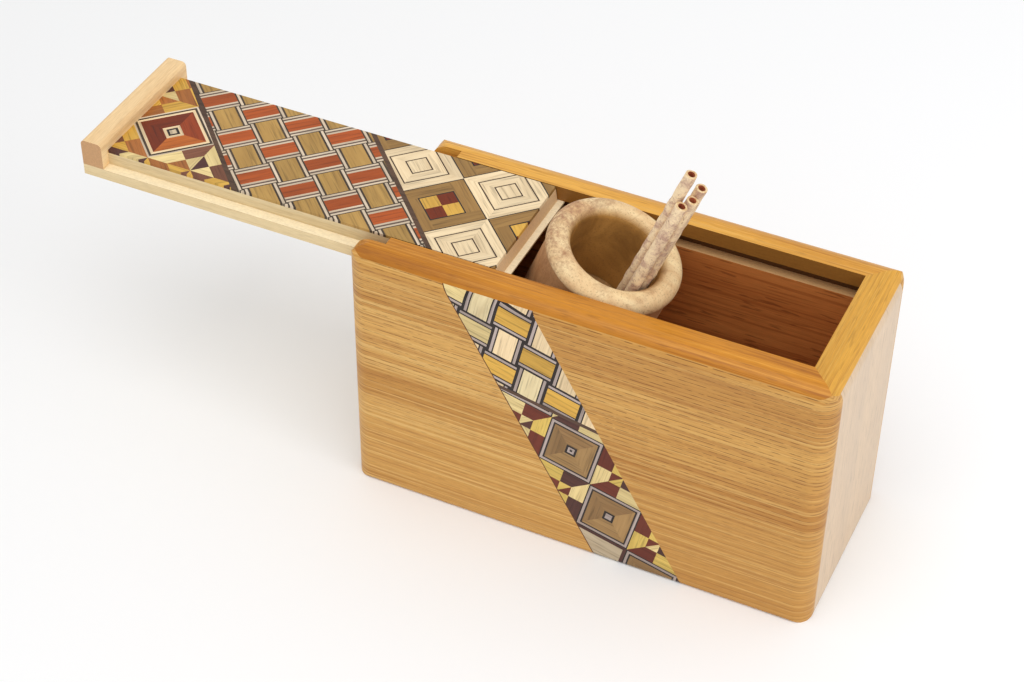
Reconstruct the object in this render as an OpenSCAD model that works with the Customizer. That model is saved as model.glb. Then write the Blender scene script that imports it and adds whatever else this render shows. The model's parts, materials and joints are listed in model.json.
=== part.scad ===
// Trick box in wood: a lid slides along the box, and a cup of reeds swings up out of it.
// +X runs from the open end to the closed end, the front faces -Y, the underside is Z = 0.

/* [Box] */
// Length of the box, along X
box_l = 130; // [120:1:150]
// Width of the box, along Y
box_w = 55; // [54:0.5:58]
// Height of the box, along Z
box_h = 78.6; // [78:0.2:84]
// Thickness of a wall board
board_t = 5.05; // [4.5:0.05:5.5]
// Thickness of a face veneer
veneer_t = 0.8; // [0.6:0.1:1]
// Thickness of the inner liners and of the guide lips
liner_t = 2.9; // [2.6:0.1:3.2]
// Thickness of the bottom board
bottom_t = 4; // [3:0.5:4]
// Thickness of the floor liner
floor_t = 1; // [0.6:0.1:1]
// Radius of the rounded top edge
top_r = 5; // [3:0.5:5.5]
// Radius of the upright corners
corner_r = 5; // [2:0.5:5.5]
// Radius of the bottom edge
foot_r = 1; // [0.5:0.25:2]
// Height of a guide lip
lip_h = 4.2; // [3.8:0.1:4.4]
// Height of the groove under a lip
groove_h = 3.7; // [3.5:0.1:4]

/* [Front marquetry band] */
// Width of the band, along X
band_w = 24.6; // [20:0.2:30]
// Slant of the band from upright, in degrees
band_slant = 29.9; // [20:0.5:32]
// Distance from the open end to the band's left edge, at mid height
band_x = 48.3; // [40:0.5:60]

/* [Lid] */
// Thickness of the sliding tongue
tongue_t = 3.2; // [2.8:0.1:3.4]
// Play above and below the tongue, and beside it
slide_play = 0.3; // [0.2:0.05:0.4]
// Distance that the tongue reaches past the plate
tongue_reach = 1.8; // [1:0.1:2.2]
// Length of the bevel under the nose of the tongue
nose_l = 7; // [5:0.5:9]
// Height left at the nose of the tongue
nose_t = 0.5; // [0.4:0.1:1]
// Slope of the plate's right end: how far its top edge is set back
end_bevel = 0.7; // [0.3:0.1:1]
// Width of the crossbar, along X
bar_t = 6.2; // [5:0.2:7]
// Distance that the crossbar stands above the rim
bar_proud = 3.3; // [2:0.1:4]
// Radius of the crossbar's long edges
bar_r = 1.2; // [0.5:0.1:1.5]
// Distance of the shut crossbar inside the box's end
bar_inset = 1.65; // [0.5:0.05:2]
// Gap between the tongue's nose and the raised cup
nose_gap = 2.3; // [2.2:0.1:3]
// Width of a dark strip between two marquetry panels
strip_w = 1.3; // [0.8:0.1:2]
// Slant of the strips from the box's length, in degrees
strip_slant = 46.5; // [40:0.5:55]
// Distance from the crossbar to the first strip, on the lid's middle line
strip_1_x = 20.7; // [18:0.5:30]
// Distance from the crossbar to the second strip, on the lid's middle line
strip_2_x = 76.9; // [65:0.5:85]

/* [Cup] */
// Gap between the cup's lip and the long liners
cup_gap = 0.65; // [0.5:0.05:1.15]
// Distance that the cup's lip stands out from its body
lip_proud = 0.9; // [0.6:0.1:1.6]
// Thickness of the cup's wall
cup_wall = 5.2; // [4.7:0.1:5.4]
// Length of the cup
cup_l = 62; // [60:0.5:62]
// Thickness of the cup's base
cup_base_t = 2; // [1.5:0.1:2.5]
// Distance from the pivot to the cup's base, along the cup
pivot_drop = 6.7; // [6.5:0.1:7]
// Distance from the pivot to the near side of the cup's lip, across the cup
side_drop = 6.8; // [6.1:0.1:7.1]
// Room left under the lowered cup
under_gap = 0.46; // [0.2:0.02:1.2]
// Lean of the raised cup from upright, in degrees
cup_lean = 21.05; // [19:0.5:22]
// Swing of the cup as the lid shuts, in degrees
cup_swing = 68.33; // [67:0.5:69]
// Gap between the lowered cup and the right liner
end_gap = 3.8; // [3:0.1:5]

/* [Reeds] */
// Outer radius of a reed
reed_r = 1.65; // [1.4:0.05:1.7]
// Radius of the hole through a reed
reed_hole_r = 0.95; // [0.6:0.05:1.1]
// Gap between neighbouring reeds
reed_gap = 0.14; // [0.1:0.02:0.3]
// Distance that the longest reed stands out of the lowered cup; below 0 it ends inside
reed_low = 2; // [-3:0.5:3]
// Thickness of the plug that carries the reeds
plug_t = 3; // [2.5:0.1:3]
// Width of the square push rod
rod_w = 3; // [2.6:0.1:3.2]

/* [Mechanism] */
// Radius of the pivot pin
pin_r = 1.5; // [1.2:0.1:1.8]
// Running clearance round a pin
run_gap = 0.05; // [0.02:0.01:0.09]
// Clearance between moving pieces that don't bear on each other
free_gap = 0.3; // [0.3:0.05:0.5]
// Thickness of a bearing cheek, along Y
cheek_t = 4; // [3:0.5:5]
// Half width of the cup's foot, along Y
foot_half = 6; // [5.5:0.25:6.5]
// Wire thickness of the lifting spring
wire_d = 0.9; // [0.7:0.05:1]
// Radius of the push rod's cross pin
cross_r = 1.2; // [1:0.1:1.3]
// Thickness of the cam plate
cam_t = 3; // [2.5:0.1:3.2]
// Width of wood round the cam slot
cam_rim = 1.8; // [1.5:0.1:2]
// Distance between the cam plate and the left liner
cam_gap = 5.9; // [5.5:0.1:7]

/* [Hidden] */
$fn = 64;
eps = 0.01;
far = 400;

// Planes of the box, measured from its middle
end_x = box_l / 2;
side_y = box_w / 2;
board_x = end_x - veneer_t;
board_y = side_y - veneer_t;
corner_y = side_y - corner_r;
wall_x = board_x - board_t;
wall_y = board_y - board_t;
liner_x = wall_x - liner_t;
liner_y = wall_y - liner_t;
floor_z = bottom_t + floor_t;
lip_z = box_h - lip_h;
liner_z = lip_z - groove_h;
left_wall_z = liner_z - slide_play;

// Lid, with its places given when it is shut
tongue_z = liner_z + slide_play;
plate_z = tongue_z + tongue_t;
tongue_half = wall_y - slide_play;
plate_half = liner_y - slide_play;
lid_left_x = -end_x + bar_inset;
plate_left_x = lid_left_x + bar_t;
plate_right_x = liner_x - slide_play;
nose_x = plate_right_x + tongue_reach;
bar_top_z = box_h + bar_proud;
notch_gap = 0.9;
notch_x = plate_left_x + notch_gap;
cleat_t = 3;
cleat_h = 3;
cleat_half = 15;

// Cup, in a frame at the pivot whose third axis runs along the cup
cup_r = liner_y - cup_gap;
body_r = cup_r - lip_proud;
bore_r = body_r - cup_wall;
pivot_side = cup_r - side_drop;
cup_reach = pivot_drop + cup_l;
pivot_x = liner_x - end_gap - cup_reach;
pivot_z = floor_z + side_drop + under_gap;
lip_r = (cup_r - bore_r) / 2;
cup_edge = pivot_side + body_r;
edge_t = (plate_z - pivot_z - cup_edge * sin(cup_lean)) / cos(cup_lean);
cup_edge_x = pivot_x - cup_edge * cos(cup_lean) + edge_t * sin(cup_lean);
lid_travel = nose_x - (cup_edge_x - nose_gap);

// Reeds and their rod, which sink as far as the cam plate has room
cross_h = 2.2;
rod_tail = 2;
slot_half = cross_r + free_gap;
track_half = slot_half + cam_rim;
reed_drop = pivot_x + liner_x - cam_gap - track_half + cross_h;
reed_proud = reed_drop + reed_low;
plug_gap = 0.4;
plug_top = pivot_drop + cup_base_t + plug_gap + reed_drop + plug_t;
rod_side = -2;
rod_u = rod_side - pivot_side;
rod_foot = cross_h - rod_tail;
rod_top = plug_top - plug_t;
reed_edge = 0.45;
reed_ring = bore_r - reed_r - reed_edge;
reed_pitch = 2 * reed_r + reed_gap;
reed_turn = 2 * asin(reed_pitch / 2 / reed_ring);
reed_rings = [reed_ring - reed_pitch, reed_ring, reed_ring, reed_ring];
reed_angles = [-17, 6, 6 - reed_turn, 6 - 2 * reed_turn];
reed_shares = [1, 0.8714, 0.82, 0.8];
function reed_side(i) = reed_rings[i] * cos(reed_angles[i]);
function reed_back(i) = reed_rings[i] * sin(reed_angles[i]);

// Cam slot: the path of the cross pin, found from the coupled swing and drop
cam_side = 2.5;
cam_y = rod_w / 2 + cam_side;
track_steps = 20;
end_steps = 10;
foot_from = 5;
foot_to = 13;
function swing_at(f) = cup_lean + cup_swing * f;
function cross_at(f) = let (a = swing_at(f), h = cross_h - reed_drop * f)
  [pivot_x + rod_u * cos(a) + h * sin(a), pivot_z - rod_u * sin(a) + h * cos(a)];
function heading_at(f) = let (d = cross_at(f + eps) - cross_at(f - eps)) d / norm(d);
function beside(f, off) = let (d = heading_at(f)) cross_at(f) + off * [-d[1], d[0]];
function track_side(off) = [for (i = [0 : track_steps]) beside(i / track_steps, off)];
function flip(list) = [for (i = [len(list) - 1 : -1 : 0]) list[i]];
// The round end of a track of this half width, past its start or its finish
function track_end(f, half) = let (d = heading_at(f) * (f > 0 ? 1 : -1), n = [-d[1], d[0]])
  [for (i = [1 : end_steps - 1]) let (a = 180 * i / end_steps)
    cross_at(f) + half * (n * cos(a) + d * sin(a))];

// Hollow in the right liner, where the tip of the longest reed sweeps past
function tip_at(f) = let (
  a = swing_at(f), u = reed_side(0) + reed_r - pivot_side, h = cup_reach + reed_proud - reed_drop * f)
  [pivot_x + u * cos(a) + h * sin(a), pivot_z - u * sin(a) + h * cos(a)];
tip_path = [for (i = [0 : track_steps]) tip_at(i / track_steps)];
tip_close = [for (p = tip_path) if (p[0] > liner_x - free_gap) p[1]];
tip_x = max([for (p = tip_path) p[0]]) + free_gap;
tip_room = 3;

spring_room = 0.6;
cheek_room = 1.2;
cheek_y = foot_half + wire_d * 3 + spring_room;
cheek_r = pivot_drop - cheek_room;
boss_r = 5;

// Draws a side-view outline, given in X and Z, between two values of Y
module slab_y(y0, y1) {
  translate([0, y1, 0]) rotate([90, 0, 0]) linear_extrude(y1 - y0) children();
}

module block(x0, x1, y0, y1, z0, z1) {
  translate([x0, y0, z0]) cube([x1 - x0, y1 - y0, z1 - z0]);
}

// An outline with round corners, whose arcs stay true
module round_rect(x0, x1, y0, y1, r_low, r_high) {
  translate([x0 + r_low, y0]) square([x1 - x0 - 2 * r_low, y1 - y0 - r_high]);
  translate([x0, y0 + r_low]) square([x1 - x0, y1 - y0 - r_low - r_high]);
  translate([x0 + r_high, y0 + r_low]) square([x1 - x0 - 2 * r_high, y1 - y0 - r_low]);
  for (x = [x0 + r_low, x1 - r_low]) translate([x, y0 + r_low]) circle(r_low);
  for (x = [x0 + r_high, x1 - r_high]) translate([x, y1 - r_high]) circle(r_high);
}

// The outer form of the box, to which every wall and veneer is cut
module box_form() {
  intersection() {
    linear_extrude(box_h)
      round_rect(-end_x, end_x, -side_y, side_y, corner_r, corner_r);
    rotate([90, 0, 90]) translate([0, 0, -end_x])
      linear_extrude(box_l) round_rect(-side_y, side_y, 0, box_h, foot_r, top_r);
    slab_y(-side_y, side_y) union() {
      round_rect(-end_x, end_x, 0, box_h, foot_r, top_r);
      translate([-end_x, foot_r]) square([end_x, box_h - foot_r - top_r]);
    }
  }
}

// The upright form that the boards fill, inside the veneers
module core_form() {
  round_r = corner_r - veneer_t;
  translate([0, 0, -1]) linear_extrude(box_h + 2)
    round_rect(-board_x, board_x, -board_y, board_y, round_r, round_r);
}

module bottom_board() {
  color("burlywood") block(-wall_x, wall_x, -wall_y, wall_y, 0, bottom_t);
}

module floor_liner() {
  color("brown") block(-wall_x, wall_x, -wall_y, wall_y, bottom_t, floor_z);
}

// A long wall board with mitred ends; above the low end wall its left end is square
module long_wall() {
  intersection() {
    box_form();
    union() {
      intersection() {
        core_form();
        union() {
          linear_extrude(box_h) polygon([
            [-board_x, -board_y], [board_x, -board_y], [wall_x, -wall_y], [-wall_x, -wall_y]]);
          block(-board_x, -wall_x, -board_y, -wall_y, left_wall_z, box_h);
        }
      }
      block(-end_x, -wall_x, -corner_y, -wall_y, left_wall_z, box_h);
    }
  }
}

module front_wall() { color("sandybrown") long_wall(); }
module back_wall() { color("sandybrown") mirror([0, 1, 0]) long_wall(); }

// An end wall board with mitred ends, at the right end
module end_wall(top_z) {
  intersection() {
    box_form();
    core_form();
    linear_extrude(top_z) polygon([
      [board_x, -board_y], [board_x, board_y], [wall_x, wall_y], [wall_x, -wall_y]]);
  }
}

module right_end_wall() { color("goldenrod") end_wall(box_h); }
module left_end_wall() { color("goldenrod") mirror([1, 0, 0]) end_wall(left_wall_z); }

// The band's outline on the front, and the ground to its left and right
module band_outline(x0, x1) {
  run = box_h / 2 * tan(band_slant);
  mid = -end_x + band_x;
  polygon([
    [mid + x0 - run, box_h], [mid + x1 - run, box_h], [mid + x1 + run, 0], [mid + x0 + run, 0]]);
}

// A long veneer wraps round the upright corners, up to where the ends begin
module front_veneer(x0, x1) {
  difference() {
    intersection() {
      box_form();
      slab_y(-side_y, -corner_y) band_outline(x0, x1);
    }
    core_form();
  }
}

module front_veneer_left() { color("burlywood") front_veneer(-far, 0); }
module front_veneer_band() { color("khaki") front_veneer(0, band_w); }
module front_veneer_right() { color("burlywood") front_veneer(band_w, far); }

module back_veneer() {
  color("burlywood") difference() {
    intersection() {
      box_form();
      block(-end_x, end_x, corner_y, side_y, 0, box_h);
    }
    core_form();
  }
}

module end_veneer(top_z) {
  intersection() {
    box_form();
    block(board_x, end_x, -corner_y, corner_y, 0, top_z);
  }
}

module right_end_veneer() { color("blanchedalmond") end_veneer(box_h); }
module left_end_veneer() { color("burlywood") mirror([1, 0, 0]) end_veneer(left_wall_z); }

// A guide lip along a long wall, notched at the open end for the crossbar
module long_lip() {
  translate([0, 0, lip_z]) linear_extrude(lip_h) polygon([
    [-end_x + notch_l(), -wall_y], [wall_x, -wall_y], [liner_x, -liner_y],
    [-end_x + notch_l(), -liner_y]]);
}
function notch_l() = notch_x + end_x;

module front_lip() { color("orange") long_lip(); }
module back_lip() { color("orange") mirror([0, 1, 0]) long_lip(); }

module right_end_lip() {
  color("orange") translate([0, 0, lip_z]) linear_extrude(lip_h) polygon([
    [wall_x, -wall_y], [wall_x, wall_y], [liner_x, liner_y], [liner_x, -liner_y]]);
}

module long_liner() {
  block(-wall_x, wall_x, -wall_y, -liner_y, floor_z, liner_z);
}

module front_liner() { color("firebrick") long_liner(); }
module back_liner() { color("firebrick") mirror([0, 1, 0]) long_liner(); }
module right_liner() {
  reed_y = reed_back(0);
  reed_half = reed_r + free_gap;
  color("firebrick") difference() {
    block(liner_x, wall_x, -liner_y, liner_y, floor_z, liner_z);
    if (len(tip_close) > 0) block(
      liner_x - 1, tip_x, reed_y - reed_half, reed_y + reed_half,
      min(tip_close) - 2 * reed_r - tip_room, max(tip_close) + tip_room);
  }
}
module left_liner() {
  color("firebrick") block(-wall_x, -liner_x, -liner_y, liner_y, floor_z, left_wall_z);
}

// A bearing cheek that stands on the floor liner beside the cup's foot
module pivot_cheek() {
  difference() {
    slab_y(-cheek_y - cheek_t, -cheek_y) union() {
      translate([pivot_x, pivot_z]) circle(cheek_r);
      translate([pivot_x - cheek_r, floor_z]) square([2 * cheek_r, pivot_z - floor_z]);
    }
    slab_y(-cheek_y - cheek_t - 1, -cheek_y + 1)
      translate([pivot_x, pivot_z]) circle(pin_r + run_gap);
  }
}

module pivot_cheek_front() { color("peru") pivot_cheek(); }
module pivot_cheek_back() { color("peru") mirror([0, 1, 0]) pivot_cheek(); }

module pivot_pin() {
  color("silver") slab_y(-cheek_y - cheek_t, cheek_y + cheek_t)
    translate([pivot_x, pivot_z]) circle(pin_r);
}

// Three close turns round the pivot pin, with a leg that stands on the floor liner
module lift_spring() {
  coil_r = pin_r + free_gap + wire_d / 2;
  pitch = wire_d * 0.9;
  color("gray") {
    translate([pivot_x, -foot_half - free_gap, pivot_z]) rotate([90, 0, 0])
      rotate_extrude() for (i = [0 : 2]) translate([coil_r, wire_d / 2 + i * pitch])
        circle(wire_d / 2, $fn = 24);
    translate([pivot_x - coil_r, -foot_half - free_gap - wire_d / 2 - pitch, floor_z])
      cylinder(r = wire_d / 2, h = pivot_z - floor_z, $fn = 24);
  }
}

// The cam plate stands on the floor liner; its slot guides the push rod's cross pin
module track(half) {
  polygon(concat(
    track_side(half), track_end(1, half), flip(track_side(-half)), track_end(0, half)));
}

// The plate's outline: the rim round the slot, carried down to the floor by a foot
function low_side(i0, i1) = [for (i = [i0 : i1]) beside(i / track_steps, track_half)];
function foot_point(i) = [beside(i / track_steps, track_half)[0], floor_z];

module cam_plate() {
  color("tan") slab_y(cam_y, cam_y + cam_t) difference() {
    polygon(concat(
      low_side(0, foot_from), [foot_point(foot_from), foot_point(foot_to)],
      low_side(foot_to, track_steps), track_end(1, track_half),
      flip(track_side(-track_half)), track_end(0, track_half)));
    track(slot_half);
  }
}

// Places the shut lid where it lies when open
module open_lid() { translate([-lid_travel, 0, 0]) children(); }

module lid_tongue() {
  color("blanchedalmond") open_lid() slab_y(-tongue_half, tongue_half) polygon([
    [lid_left_x, tongue_z], [nose_x - nose_l, tongue_z], [nose_x, plate_z - nose_t],
    [nose_x, plate_z], [lid_left_x, plate_z]]);
}

// The plate and its top veneer together, between two heights
module plate_form(z0, z1) {
  intersection() {
    slab_y(-plate_half, plate_half) polygon([
      [plate_left_x, plate_z], [plate_right_x, plate_z],
      [plate_right_x - end_bevel, box_h], [plate_left_x, box_h]]);
    block(plate_left_x, plate_right_x, -plate_half, plate_half, z0, z1);
  }
}

module lid_plate() {
  color("bisque") open_lid() plate_form(plate_z, box_h - veneer_t);
}

module lid_crossbar() {
  color("navajowhite") open_lid() slab_y(-tongue_half, tongue_half)
    round_rect(lid_left_x, plate_left_x, plate_z, bar_top_z, eps, bar_r);
}

module stop_cleat() {
  left = -liner_x + free_gap;
  color("peru") block(left, left + cleat_t, -cleat_half, cleat_half, tongue_z - cleat_h, tongue_z);
}

// The part of the lid's top veneer between two slanting edges
module lid_veneer(x0, x1) {
  run = plate_half / tan(strip_slant);
  mid = plate_left_x;
  open_lid() intersection() {
    plate_form(box_h - veneer_t, box_h);
    linear_extrude(box_h + 1) polygon([
      [mid + x0 + run, -plate_half], [mid + x1 + run, -plate_half],
      [mid + x1 - run, plate_half], [mid + x0 - run, plate_half]]);
  }
}
strip_run = strip_w / sin(strip_slant);

module lid_panel_left() { color("khaki") lid_veneer(-far, strip_1_x - strip_run / 2); }
module lid_strip_left() {
  color("saddlebrown") lid_veneer(strip_1_x - strip_run / 2, strip_1_x + strip_run / 2);
}
module lid_panel_middle() {
  color("chocolate") lid_veneer(strip_1_x + strip_run / 2, strip_2_x - strip_run / 2);
}
module lid_strip_right() {
  color("saddlebrown") lid_veneer(strip_2_x - strip_run / 2, strip_2_x + strip_run / 2);
}
module lid_panel_right() { color("wheat") lid_veneer(strip_2_x + strip_run / 2, far); }

// A frame at the pivot: X across the cup, Z along it
module pivot_frame() {
  translate([pivot_x, 0, pivot_z]) rotate([0, cup_lean, 0]) children();
}

module cup() {
  color("tan") pivot_frame() translate([-pivot_side, 0, 0]) difference() {
    rotate_extrude($fn = 128) difference() {
      union() {
        translate([0, pivot_drop]) square([body_r, cup_l - lip_r - lip_r / 2]);
        translate([bore_r, cup_reach - lip_r - lip_r / 2]) square([2 * lip_r, lip_r / 2]);
        translate([bore_r + lip_r, cup_reach - lip_r]) circle(lip_r);
      }
      translate([0, pivot_drop + cup_base_t]) square([bore_r, cup_l]);
    }
    translate([rod_side, 0, pivot_drop - 1]) cylinder(r = rod_w * 0.71 + free_gap, h = cup_base_t + 2);
  }
}

// The foot carries the cup's bearing
module cup_foot() {
  color("peru") pivot_frame() difference() {
    union() {
      slab_y(-foot_half, foot_half) circle(boss_r);
      block(-boss_r, boss_r, -foot_half, foot_half, 0, pivot_drop);
    }
    slab_y(-foot_half - 1, foot_half + 1) circle(pin_r + run_gap);
  }
}

module reed_plug() {
  color("peru") pivot_frame() translate([-pivot_side, 0, rod_top])
    cylinder(r = bore_r - free_gap, h = plug_t, $fn = 128);
}

module push_rod() {
  color("burlywood") pivot_frame() difference() {
    block(rod_u - rod_w / 2, rod_u + rod_w / 2, -rod_w / 2, rod_w / 2, rod_foot, rod_top);
    slab_y(-rod_w, rod_w) translate([rod_u, cross_h]) circle(cross_r + run_gap);
  }
}

module cross_pin() {
  color("silver") pivot_frame() slab_y(-rod_w / 2, cam_y + cam_t)
    translate([rod_u, cross_h]) circle(cross_r);
}

module reed(i) {
  length = cup_reach + reed_proud * reed_shares[i] - plug_top;
  color("wheat") pivot_frame() translate([reed_side(i) - pivot_side, reed_back(i), plug_top])
    difference() {
      cylinder(r = reed_r, h = length, $fn = 32);
      translate([0, 0, -1]) cylinder(r = reed_hole_r, h = length + 2, $fn = 32);
    }
}

module reed_1() { reed(0); }
module reed_2() { reed(1); }
module reed_3() { reed(2); }
module reed_4() { reed(3); }

bottom_board();
floor_liner();
front_wall();
back_wall();
right_end_wall();
left_end_wall();
front_veneer_left();
front_veneer_band();
front_veneer_right();
back_veneer();
right_end_veneer();
left_end_veneer();
front_lip();
back_lip();
right_end_lip();
front_liner();
back_liner();
right_liner();
left_liner();
pivot_cheek_front();
pivot_cheek_back();
pivot_pin();
lift_spring();
cam_plate();
lid_tongue();
lid_plate();
lid_crossbar();
stop_cleat();
lid_panel_left();
lid_strip_left();
lid_panel_middle();
lid_strip_right();
lid_panel_right();
cup();
cup_foot();
reed_plug();
push_rod();
cross_pin();
reed_1();
reed_2();
reed_3();
reed_4();
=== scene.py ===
import json
import math
import random

import bpy
from mathutils import Matrix, Vector


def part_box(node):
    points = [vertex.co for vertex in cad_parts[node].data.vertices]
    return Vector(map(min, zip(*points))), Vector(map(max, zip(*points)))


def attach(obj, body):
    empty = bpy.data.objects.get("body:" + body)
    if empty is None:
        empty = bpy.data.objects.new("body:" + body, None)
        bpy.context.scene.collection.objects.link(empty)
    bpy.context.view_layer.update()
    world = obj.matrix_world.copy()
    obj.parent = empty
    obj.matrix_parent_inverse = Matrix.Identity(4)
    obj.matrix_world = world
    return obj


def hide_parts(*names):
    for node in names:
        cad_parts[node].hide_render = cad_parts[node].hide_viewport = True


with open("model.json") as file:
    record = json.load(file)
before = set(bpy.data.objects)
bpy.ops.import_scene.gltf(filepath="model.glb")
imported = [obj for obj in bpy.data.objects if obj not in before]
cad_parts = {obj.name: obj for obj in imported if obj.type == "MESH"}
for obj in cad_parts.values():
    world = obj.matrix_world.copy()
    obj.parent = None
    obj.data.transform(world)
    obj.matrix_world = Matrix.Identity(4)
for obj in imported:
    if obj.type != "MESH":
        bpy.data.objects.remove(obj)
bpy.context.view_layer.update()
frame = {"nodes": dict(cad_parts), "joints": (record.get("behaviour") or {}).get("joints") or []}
MM = 0.001

# ---- measures taken from the frame -------------------------------------------------------
BAND_LOW, BAND_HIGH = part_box("front_veneer_band")
FRONT_Y = BAND_LOW.y / MM
VENEER_BACK_Y = BAND_HIGH.y / MM
PANEL_LOW, PANEL_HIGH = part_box("lid_panel_left")
LID_LEFT_X = PANEL_LOW.x / MM
LID_FRONT_Y = PANEL_LOW.y / MM
LID_TOP_Z = PANEL_HIGH.z / MM
LID_UNDER_Z = PANEL_LOW.z / MM
LID_RIGHT_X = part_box("lid_panel_right")[1].x / MM
BOX_TOP_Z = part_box("front_wall")[1].z / MM
BOX_END_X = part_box("right_end_veneer")[1].x / MM

# The cup's own frame, from its joint and the reeds' slide
JOINTS = {j["name"]: j for j in frame["joints"]}
PIVOT = Vector(JOINTS["cup_swing"]["pos_m"]) / MM
CUP_AXIS = -Vector(JOINTS["reed_slide"]["axis"]).normalized()
CUP_SIDE = Vector((CUP_AXIS.z, 0, -CUP_AXIS.x))

# Sizes that repeat the part's source, in millimetres
PIVOT_SIDE = 11.3
PIVOT_DROP = 6.7
CUP_LENGTH = 62.0
CUP_REACH = PIVOT_DROP + CUP_LENGTH
CUP_R = 18.1
BODY_R = 17.2
BORE_R = 12.0
BASE_T = 2.0
ROD_SIDE = -2.0
ROD_HOLE_R = 2.43
REED_HOLE_R = 0.95
TOP_R, FOOT_R = 5.0, 1.0
BAND_W = 24.6
BAND_SLANT = math.tan(math.radians(29.9))
STRIP_SLANT = math.tan(math.radians(46.5))
MOUTH = PIVOT - CUP_SIDE * PIVOT_SIDE + CUP_AXIS * CUP_REACH


# ---- colours -----------------------------------------------------------------------------
def linear(rgb):
    """A colour as it is seen, as the scene's linear values."""
    made = [c / 12.92 if c <= 0.04045 else ((c + 0.055) / 1.055) ** 2.4 for c in rgb]
    return (*made, 1.0)


WOODS = {
    "cream": (0.92, 0.82, 0.66),
    "ash": (0.83, 0.76, 0.67),
    "ivory": (0.89, 0.82, 0.65),
    "soft_line": (0.40, 0.33, 0.29),
    "lid_line": (0.27, 0.22, 0.17),
    "white": (0.92, 0.83, 0.68),
    "lilac": (0.70, 0.64, 0.62),
    "line": (0.17, 0.14, 0.13),
    "thin_line": (0.26, 0.18, 0.12),
    "edge_line": (0.36, 0.20, 0.10),
    "dark_strip": (0.34, 0.25, 0.20),
    "olive": (0.69, 0.545, 0.30),
    "dark_olive": (0.60, 0.46, 0.26),
    "redwood": (0.66, 0.31, 0.11),
    "orange": (0.76, 0.41, 0.15),
    "russet": (0.58, 0.24, 0.09),
    "citron": (0.85, 0.73, 0.38),
    "deep_red": (0.46, 0.17, 0.04),
    "yellow": (0.84, 0.66, 0.29),
    "pale_yellow": (0.88, 0.79, 0.56),
    "plum": (0.47, 0.295, 0.215),
    "dark_plum": (0.32, 0.19, 0.17),
    "chestnut": (0.66, 0.41, 0.20),
    "maroon": (0.42, 0.18, 0.12),
    "brown": (0.58, 0.45, 0.29),
    "light_brown": (0.67, 0.53, 0.34),
    "pale_grey": (0.78, 0.71, 0.60),
}


# ---- materials ---------------------------------------------------------------------------
def new_material(name):
    material = bpy.data.materials.new(name)
    material.use_nodes = True
    tree = material.node_tree
    shader = tree.nodes["Principled BSDF"]
    return material, tree, shader


def noise(tree, vector, scale, detail=3.0, rough=0.55, distortion=0.0):
    node = tree.nodes.new("ShaderNodeTexNoise")
    node.inputs["Scale"].default_value = scale
    node.inputs["Detail"].default_value = detail
    node.inputs["Roughness"].default_value = rough
    node.inputs["Distortion"].default_value = distortion
    tree.links.new(vector, node.inputs["Vector"])
    return node.outputs["Fac"]


def stretched(tree, vector, scale, offset=(0, 0, 0)):
    """The coordinates, scaled apart along each axis, in features per metre."""
    node = tree.nodes.new("ShaderNodeMapping")
    node.inputs["Scale"].default_value = scale
    node.inputs["Location"].default_value = offset
    tree.links.new(vector, node.inputs["Vector"])
    return node.outputs["Vector"]


def ramp(tree, value, stops):
    """A colour ramp with (place, grey or colour) stops."""
    node = tree.nodes.new("ShaderNodeValToRGB")
    while len(node.color_ramp.elements) < len(stops):
        node.color_ramp.elements.new(0.5)
    for element, (place, colour) in zip(node.color_ramp.elements, stops):
        element.position = place
        element.color = colour if hasattr(colour, "__len__") else (colour,) * 3 + (1,)
    tree.links.new(value, node.inputs["Fac"])
    return node.outputs["Color"]


def mixed(tree, factor, a, b, blend="MIX"):
    """Two colours mixed; each is a socket or a plain colour, and so is the factor."""
    node = tree.nodes.new("ShaderNodeMix")
    node.data_type = "RGBA"
    node.blend_type = blend
    for socket, value in ((node.inputs[0], factor), (node.inputs[6], a), (node.inputs[7], b)):
        if isinstance(value, bpy.types.NodeSocket):
            tree.links.new(value, socket)
        else:
            socket.default_value = value
    return node.outputs[2]


def maths(tree, operation, a, b=0.0):
    node = tree.nodes.new("ShaderNodeMath")
    node.operation = operation
    for socket, value in ((node.inputs[0], a), (node.inputs[1], b)):
        if isinstance(value, bpy.types.NodeSocket):
            tree.links.new(value, socket)
        else:
            socket.default_value = value
    return node.outputs[0]


def bump(tree, shader, height, strength, distance=0.0001):
    node = tree.nodes.new("ShaderNodeBump")
    node.inputs["Strength"].default_value = strength
    node.inputs["Distance"].default_value = distance
    tree.links.new(height, node.inputs["Height"])
    tree.links.new(node.outputs["Normal"], shader.inputs["Normal"])


def across(axes, fine, coarse):
    """Scales for grain that is fine across these axes and coarse along the others."""
    return tuple(fine if axis in axes else coarse for axis in "XYZ")


def coordinates(tree, kind="Object"):
    return tree.nodes.new("ShaderNodeTexCoord").outputs[kind]


def parts_of(tree, vector):
    """The X, Y and Z of a vector."""
    node = tree.nodes.new("ShaderNodeSeparateXYZ")
    tree.links.new(vector, node.inputs["Vector"])
    return node.outputs


def mark(tree, name):
    """The node that reads a mesh attribute."""
    node = tree.nodes.new("ShaderNodeAttribute")
    node.attribute_name = name
    return node


FACING_LEAST = 0.6


def facing(tree, axis):
    """1 on faces that look along this axis of the object, and else 0; "-Y" is one way only."""
    along = parts_of(tree, coordinates(tree, "Normal"))[axis[-1]]
    if axis[0] == "-":
        turned = maths(tree, "MULTIPLY", along, -1.0)
    else:
        turned = maths(tree, "ABSOLUTE", along)
    return maths(tree, "GREATER_THAN", turned, FACING_LEAST)


ROW_GAP = 0.00125
PORE_RUN = 0.0035
ROW_WAVE = 16.0


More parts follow.
